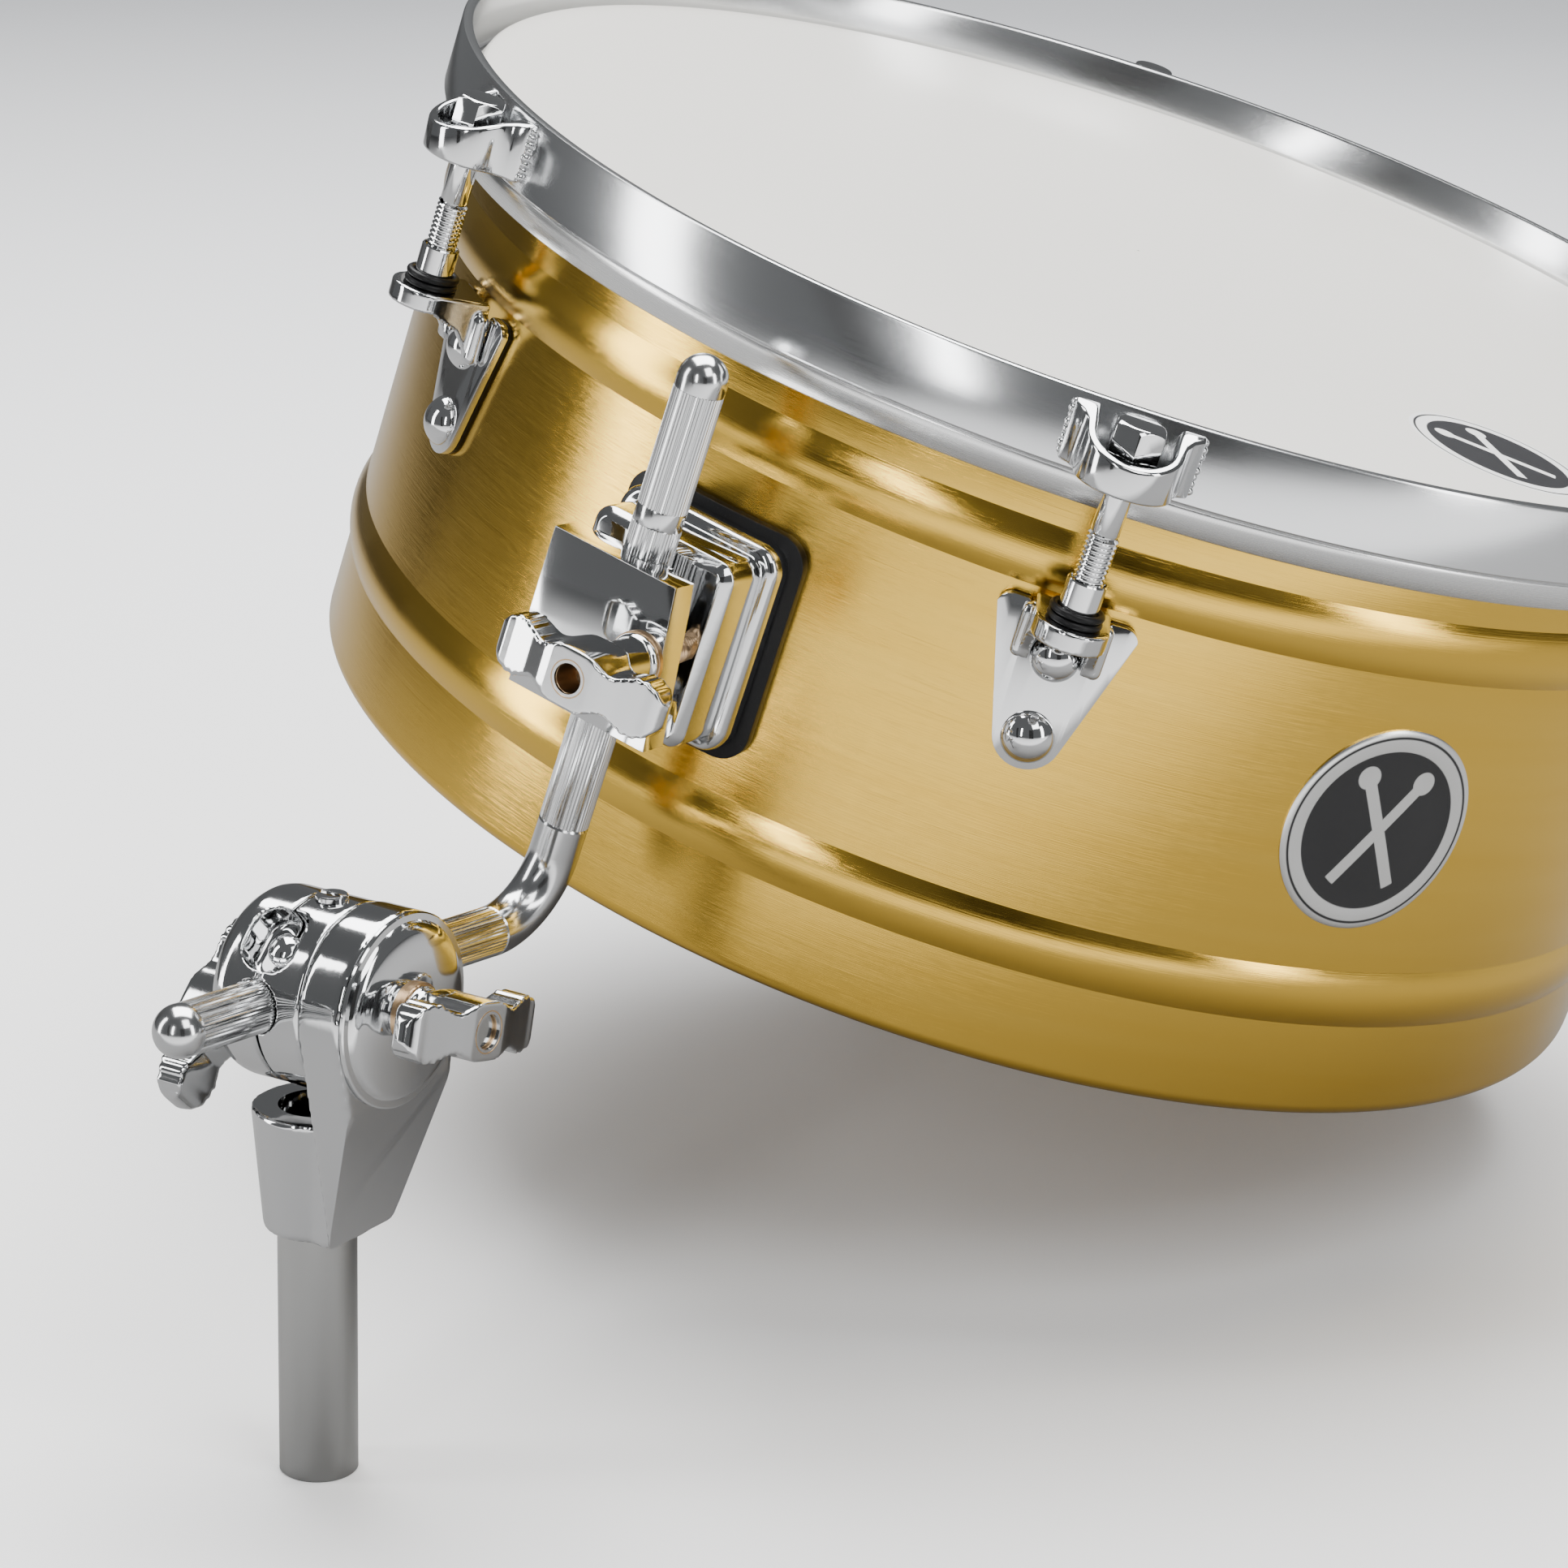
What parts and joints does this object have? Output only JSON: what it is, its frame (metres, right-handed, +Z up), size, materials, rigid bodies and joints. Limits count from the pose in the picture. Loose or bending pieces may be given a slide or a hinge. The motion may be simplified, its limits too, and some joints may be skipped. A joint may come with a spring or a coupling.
{
  "type": "snare drum on a mounting arm",
  "caption": "Single-headed brass drum with tension rods, a clamp bracket, an L-shaped rod, a ratchet tilter and the top of a stand tube",
  "frame": {"origin": "centre of the open lower end of the stand tube", "axes": "+Z runs up the stand tube, +X runs along the tilter hinge towards its wing nut, the rod's free end points to -Y"},
  "size_m": [0.4346, 0.5703, 0.3223],
  "materials": {
    "lacquered_brass": "polished brass under clear lacquer",
    "head_film": "coated white film",
    "flesh_aluminium": "satin aluminium",
    "hoop_chrome": "polished chrome",
    "ear_chrome": "polished chrome with weld marks",
    "lug_chrome": "polished chrome on a casting",
    "screw_chrome": "polished chrome",
    "zinc_steel": "zinc-plated steel",
    "dark_steel": "hardened steel, dark",
    "black_rubber": "black rubber",
    "gasket_rubber": "black rubber",
    "badge_silver": "printed aluminium with a black oval ground",
    "clamp_chrome": "polished chrome on a casting",
    "wing_chrome": "polished chrome on a casting",
    "rod_chrome": "chrome over fine knurling",
    "tilter_chrome": "chrome on a casting, slightly worn",
    "washer_brass": "dull brass",
    "tube_chrome": "polished chrome"
  },
  "bodies": {
    "stand": {"stand_tube": "tube_chrome", "tube_pin": "zinc_steel", "tilter_post": "tilter_chrome", "fixed_ratchet_ring": "dark_steel", "ratchet_cover": "tilter_chrome", "brass_washer": "washer_brass", "tilter_bolt": "zinc_steel", "ratchet_spring": "dark_steel"},
    "tilter_head": {"tilter_body": "tilter_chrome", "moving_ratchet_ring": "dark_steel", "keeper_button": "screw_chrome", "set_screw": "zinc_steel", "jaw_bolt": "zinc_steel"},
    "rod_clamp": {"tilter_cap": "tilter_chrome", "rear_washer": "washer_brass"},
    "rear_nut": {"rear_wing_nut": "wing_chrome"},
    "tilter_nut": {"tilter_wing_nut": "wing_chrome"},
    "rod": {"l_rod": "rod_chrome"},
    "drum": {"shell": "lacquered_brass", "drum_head": "head_film", "flesh_hoop": "flesh_aluminium", "counter_hoop": "hoop_chrome", "hoop_ears": "ear_chrome", "lug_plates": "lug_chrome", "lug_eyes": "lug_chrome", "lug_upper_screws": "screw_chrome", "lug_lower_screws": "screw_chrome", "lug_washers": "zinc_steel", "lug_nuts": "zinc_steel", "barrel_nuts": "screw_chrome", "o_rings": "black_rubber", "tension_washers": "zinc_steel", "badge": "badge_silver", "mount_gasket": "gasket_rubber", "mount_base": "clamp_chrome", "backing_plate": "zinc_steel", "mount_screws": "zinc_steel", "clamp_stud": "washer_brass"},
    "clamp": {"clamp_plate": "clamp_chrome", "clamp_washer": "washer_brass"},
    "clamp_nut": {"clamp_wing_nut": "wing_chrome"},
    "tension_1": {"tension_rod_1": "screw_chrome"},
    "tension_2": {"tension_rod_2": "screw_chrome"},
    "tension_3": {"tension_rod_3": "screw_chrome"},
    "tension_4": {"tension_rod_4": "screw_chrome"},
    "tension_5": {"tension_rod_5": "screw_chrome"},
    "tension_6": {"tension_rod_6": "screw_chrome"}
  },
  "joints": [
    {"name": "tilter_tilt", "type": "hinge", "parent": "stand", "child": "tilter_head", "pos_m": [0, 0, 0.123], "axis": [1, 0, 0], "range_deg": [-30, 35]},
    {"name": "rod_clamp_slide", "type": "slide", "parent": "tilter_head", "child": "rod_clamp", "axis": [-1, 0, 0], "range_m": [0, 0.0012]},
    {"name": "rear_nut_spin", "type": "hinge", "parent": "rod_clamp", "child": "rear_nut", "pos_m": [0, 0, 0.1105], "axis": [-1, 0, 0], "range_deg": [0, 345.6]},
    {"name": "rod_turn", "type": "hinge", "parent": "tilter_head", "child": "rod", "pos_m": [0, 0, 0.123], "axis": [0, -0.9966, 0.0819], "range_deg": [-60, 60]},
    {"name": "drum_slide", "type": "slide", "parent": "rod", "child": "drum", "axis": [0.2706, 0.0789, 0.9595], "range_m": [-0.025, 0.045]},
    {"name": "clamp_plate_slide", "type": "slide", "parent": "drum", "child": "clamp", "axis": [0.0185, -0.9969, 0.0767], "range_m": [0, 0.0025]},
    {"name": "clamp_nut_spin", "type": "hinge", "parent": "clamp", "child": "clamp_nut", "pos_m": [0.03348, 0.10682, 0.18795], "axis": [0.0185, -0.9969, 0.0767], "range_deg": [0, 720]},
    {"name": "tilter_nut_spin", "type": "hinge", "parent": "stand", "child": "tilter_nut", "pos_m": [0, 0, 0.123], "axis": [1, 0, 0], "range_deg": [0, 360]},
    {"name": "tension_spin_1", "type": "hinge", "parent": "drum", "child": "tension_1", "pos_m": [0.13026, 0.1352, 0.22502], "axis": [0.2706, 0.0789, 0.9595], "continuous": true},
    {"name": "tension_spin_2", "type": "hinge", "parent": "drum", "child": "tension_2", "pos_m": [0.2322, 0.3078, 0.18208], "axis": [0.2706, 0.0789, 0.9595], "continuous": true},
    {"name": "tension_spin_3", "type": "hinge", "parent": "drum", "child": "tension_3", "pos_m": [0.13682, 0.48886, 0.1941], "axis": [0.2706, 0.0789, 0.9595], "continuous": true},
    {"name": "tension_spin_4", "type": "hinge", "parent": "drum", "child": "tension_4", "pos_m": [-0.06049, 0.49733, 0.24905], "axis": [0.2706, 0.0789, 0.9595], "continuous": true},
    {"name": "tension_spin_5", "type": "hinge", "parent": "drum", "child": "tension_5", "pos_m": [-0.16243, 0.32473, 0.29199], "axis": [0.2706, 0.0789, 0.9595], "continuous": true},
    {"name": "tension_spin_6", "type": "hinge", "parent": "drum", "child": "tension_6", "pos_m": [-0.06706, 0.14367, 0.27998], "axis": [0.2706, 0.0789, 0.9595], "continuous": true}
  ],
  "couplings": [
    {"joint": "clamp_nut_spin", "follows": "clamp_plate_slide", "rad_per_m": 5026.5},
    {"joint": "rear_nut_spin", "follows": "rod_clamp_slide", "rad_per_m": 5026.5}
  ]
}
